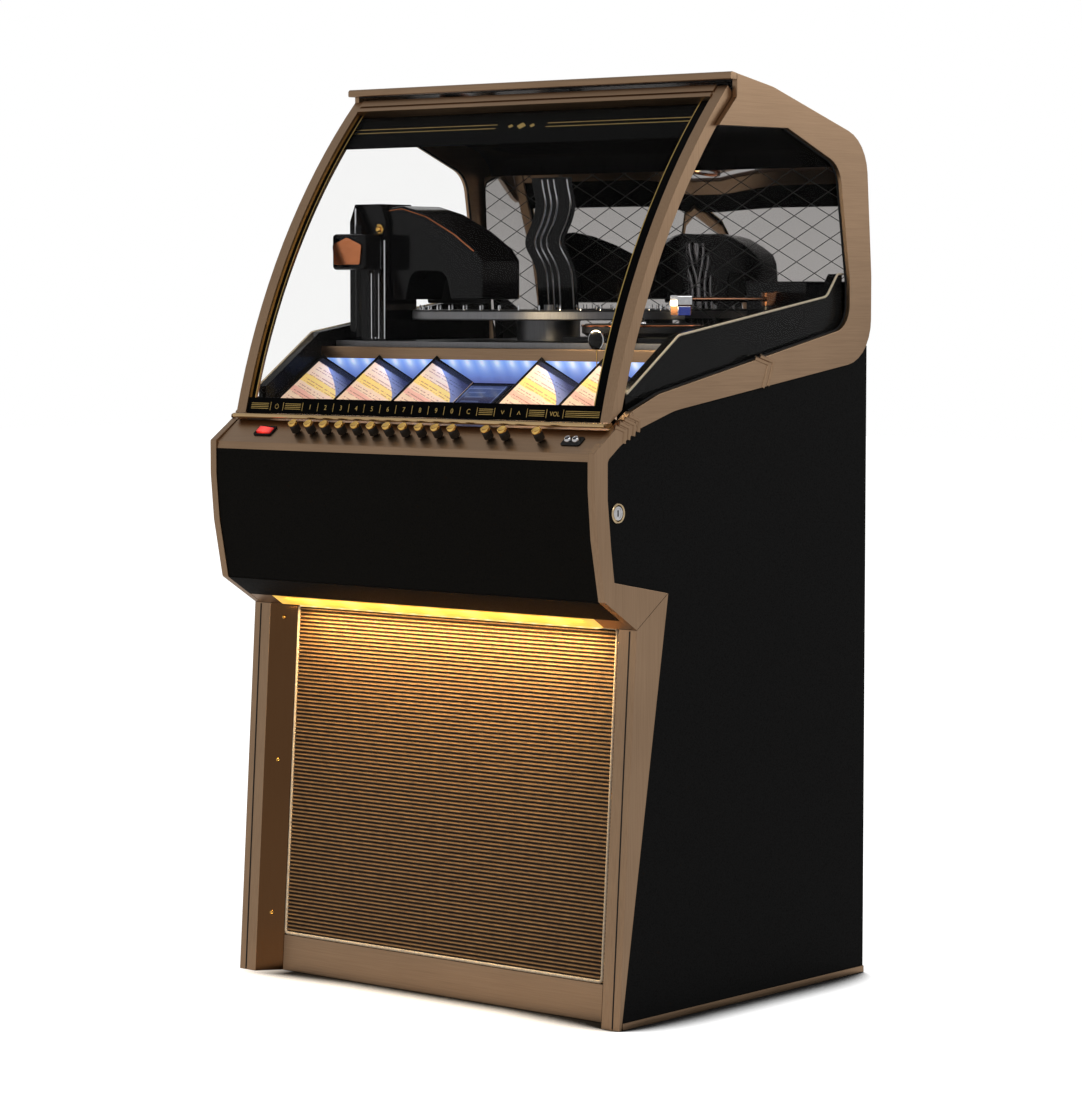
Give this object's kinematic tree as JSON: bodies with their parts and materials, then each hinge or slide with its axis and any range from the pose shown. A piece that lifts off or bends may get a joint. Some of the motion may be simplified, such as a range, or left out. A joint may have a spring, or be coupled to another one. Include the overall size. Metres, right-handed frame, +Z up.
{
  "type": "jukebox",
  "caption": "Floor-standing record jukebox with a curved lift-up glass door, mirrored record changer, title rack, sloping push-button panel and lit grille.",
  "frame": {"origin": "middle of the footprint of the bounding box, on the floor", "axes": "+Z up, -Y out of the front, +X towards the side that carries the cabinet lock"},
  "size_m": [0.848, 0.7466, 1.529],
  "materials": {
    "bronze_trim": "brushed, anodised in bronze",
    "black_vinyl": "grained black leathercloth on board",
    "gloss_black": "polished black",
    "matte_black": "matt black",
    "board_black": "board painted black",
    "board": "plain board",
    "grille_cloth": "ribbed gold and brown grille cloth on a board",
    "piping": "pale piping",
    "clear_glass": "clear toughened glass",
    "mirror": "silvered, with a dark lattice on it",
    "gold_caps": "polished brass",
    "chrome": "polished",
    "cast_metal": "cast, dark grey",
    "steel": "plain steel",
    "cards": "cream title cards on a moulded tray",
    "lamp": "warm diffuser",
    "screen": "dark display",
    "red": "red, lit from inside"
  },
  "bodies": {
    "cabinet": {"cabinet_floor": "board", "side_panel_left": "black_vinyl", "side_panel_right": "black_vinyl", "back_panel": "board_black", "roof_panel": "matte_black", "mirror_panel": "mirror", "mechanism_deck": "board", "front_panel": "black_vinyl", "control_panel": "bronze_trim", "nose_soffit": "bronze_trim", "strip_lamp": "lamp", "grille_panel": "grille_cloth", "grille_piping": "piping", "kick_rail": "bronze_trim", "leg_left": "bronze_trim", "leg_right": "bronze_trim", "nose_cheek_left": "bronze_trim", "nose_cheek_right": "bronze_trim", "side_band_left": "bronze_trim", "side_band_right": "bronze_trim", "top_rail": "bronze_trim", "side_glass_left": "clear_glass", "side_glass_right": "clear_glass", "amplifier": "cast_metal", "speaker_left": "steel", "speaker_right": "steel", "power_inlet": "matte_black", "title_rack": "cards", "display_screen": "screen", "mechanism_base": "cast_metal", "transfer_tower": "gloss_black", "record_hood": "gloss_black", "turntable_base": "gloss_black"},
    "door": {"door_pillar_left": "bronze_trim", "door_pillar_right": "bronze_trim", "door_head_rail": "bronze_trim", "door_sill": "bronze_trim", "label_strip": "gloss_black", "door_glass": "clear_glass", "door_header": "gloss_black"},
    "volume_knob": {"volume_knob": "gold_caps"},
    "power_rocker": {"power_rocker": "red"},
    "lock": {"lock_barrel": "chrome"},
    "carousel": {"record_carousel": "cast_metal"},
    "platter": {"platter": "chrome"},
    "tone_arm": {"tone_arm": "bronze_trim"},
    "lift_carriage": {"lift_carriage": "gloss_black"},
    "button_01": {"push_button_01": "gold_caps"},
    "button_02": {"push_button_02": "gold_caps"},
    "button_03": {"push_button_03": "gold_caps"},
    "button_04": {"push_button_04": "gold_caps"},
    "button_05": {"push_button_05": "gold_caps"},
    "button_06": {"push_button_06": "gold_caps"},
    "button_07": {"push_button_07": "gold_caps"},
    "button_08": {"push_button_08": "gold_caps"},
    "button_09": {"push_button_09": "gold_caps"},
    "button_10": {"push_button_10": "gold_caps"},
    "button_11": {"push_button_11": "gold_caps"},
    "button_12": {"push_button_12": "gold_caps"},
    "button_13": {"push_button_13": "gold_caps"}
  },
  "joints": [
    {"name": "door_hinge", "type": "hinge", "parent": "cabinet", "child": "door", "pos_m": [0, -0.0135, 1.5085], "axis": [-1, 0, 0], "range_deg": [0, 50]},
    {"name": "button_01_press", "type": "slide", "parent": "cabinet", "child": "button_01", "axis": [0, 0.5908, -0.8068], "range_m": [0, 0.0025], "stiffness_N_per_m": 500, "springref_m": -0.002},
    {"name": "button_02_press", "type": "slide", "parent": "cabinet", "child": "button_02", "axis": [0, 0.5908, -0.8068], "range_m": [0, 0.0025], "stiffness_N_per_m": 500, "springref_m": -0.002},
    {"name": "button_03_press", "type": "slide", "parent": "cabinet", "child": "button_03", "axis": [0, 0.5908, -0.8068], "range_m": [0, 0.0025], "stiffness_N_per_m": 500, "springref_m": -0.002},
    {"name": "button_04_press", "type": "slide", "parent": "cabinet", "child": "button_04", "axis": [0, 0.5908, -0.8068], "range_m": [0, 0.0025], "stiffness_N_per_m": 500, "springref_m": -0.002},
    {"name": "button_05_press", "type": "slide", "parent": "cabinet", "child": "button_05", "axis": [0, 0.5908, -0.8068], "range_m": [0, 0.0025], "stiffness_N_per_m": 500, "springref_m": -0.002},
    {"name": "button_06_press", "type": "slide", "parent": "cabinet", "child": "button_06", "axis": [0, 0.5908, -0.8068], "range_m": [0, 0.0025], "stiffness_N_per_m": 500, "springref_m": -0.002},
    {"name": "button_07_press", "type": "slide", "parent": "cabinet", "child": "button_07", "axis": [0, 0.5908, -0.8068], "range_m": [0, 0.0025], "stiffness_N_per_m": 500, "springref_m": -0.002},
    {"name": "button_08_press", "type": "slide", "parent": "cabinet", "child": "button_08", "axis": [0, 0.5908, -0.8068], "range_m": [0, 0.0025], "stiffness_N_per_m": 500, "springref_m": -0.002},
    {"name": "button_09_press", "type": "slide", "parent": "cabinet", "child": "button_09", "axis": [0, 0.5908, -0.8068], "range_m": [0, 0.0025], "stiffness_N_per_m": 500, "springref_m": -0.002},
    {"name": "button_10_press", "type": "slide", "parent": "cabinet", "child": "button_10", "axis": [0, 0.5908, -0.8068], "range_m": [0, 0.0025], "stiffness_N_per_m": 500, "springref_m": -0.002},
    {"name": "button_11_press", "type": "slide", "parent": "cabinet", "child": "button_11", "axis": [0, 0.5908, -0.8068], "range_m": [0, 0.0025], "stiffness_N_per_m": 500, "springref_m": -0.002},
    {"name": "button_12_press", "type": "slide", "parent": "cabinet", "child": "button_12", "axis": [0, 0.5908, -0.8068], "range_m": [0, 0.0025], "stiffness_N_per_m": 500, "springref_m": -0.002},
    {"name": "button_13_press", "type": "slide", "parent": "cabinet", "child": "button_13", "axis": [0, 0.5908, -0.8068], "range_m": [0, 0.0025], "stiffness_N_per_m": 500, "springref_m": -0.002},
    {"name": "volume_turn", "type": "hinge", "parent": "cabinet", "child": "volume_knob", "pos_m": [0.2915, -0.34478, 0.93728], "axis": [0, -0.5908, 0.8068], "range_deg": [-150, 150]},
    {"name": "power_rock", "type": "hinge", "parent": "cabinet", "child": "power_rocker", "pos_m": [-0.3195, -0.34478, 0.93728], "axis": [0, -0.8068, -0.5908], "range_deg": [0, 12]},
    {"name": "lock_turn", "type": "hinge", "parent": "cabinet", "child": "lock", "pos_m": [0.4018, -0.3115, 0.82498], "axis": [1, 0, 0], "range_deg": [0, 90]},
    {"name": "carousel_spin", "type": "hinge", "parent": "cabinet", "child": "carousel", "pos_m": [-0.05512, 0.08591, 1.1335], "axis": [0, 0, 1], "continuous": true},
    {"name": "platter_spin", "type": "hinge", "parent": "cabinet", "child": "platter", "pos_m": [0.2527, -0.03959, 1.108], "axis": [0, 0, 1], "continuous": true},
    {"name": "arm_swing", "type": "hinge", "parent": "cabinet", "child": "tone_arm", "pos_m": [0.3357, 0.2002, 1.1606], "axis": [0, 0, -1], "range_deg": [0, 12]},
    {"name": "carriage_lift", "type": "slide", "parent": "cabinet", "child": "lift_carriage", "axis": [0, 0, 1], "range_m": [-0.09, 0.03]}
  ]
}
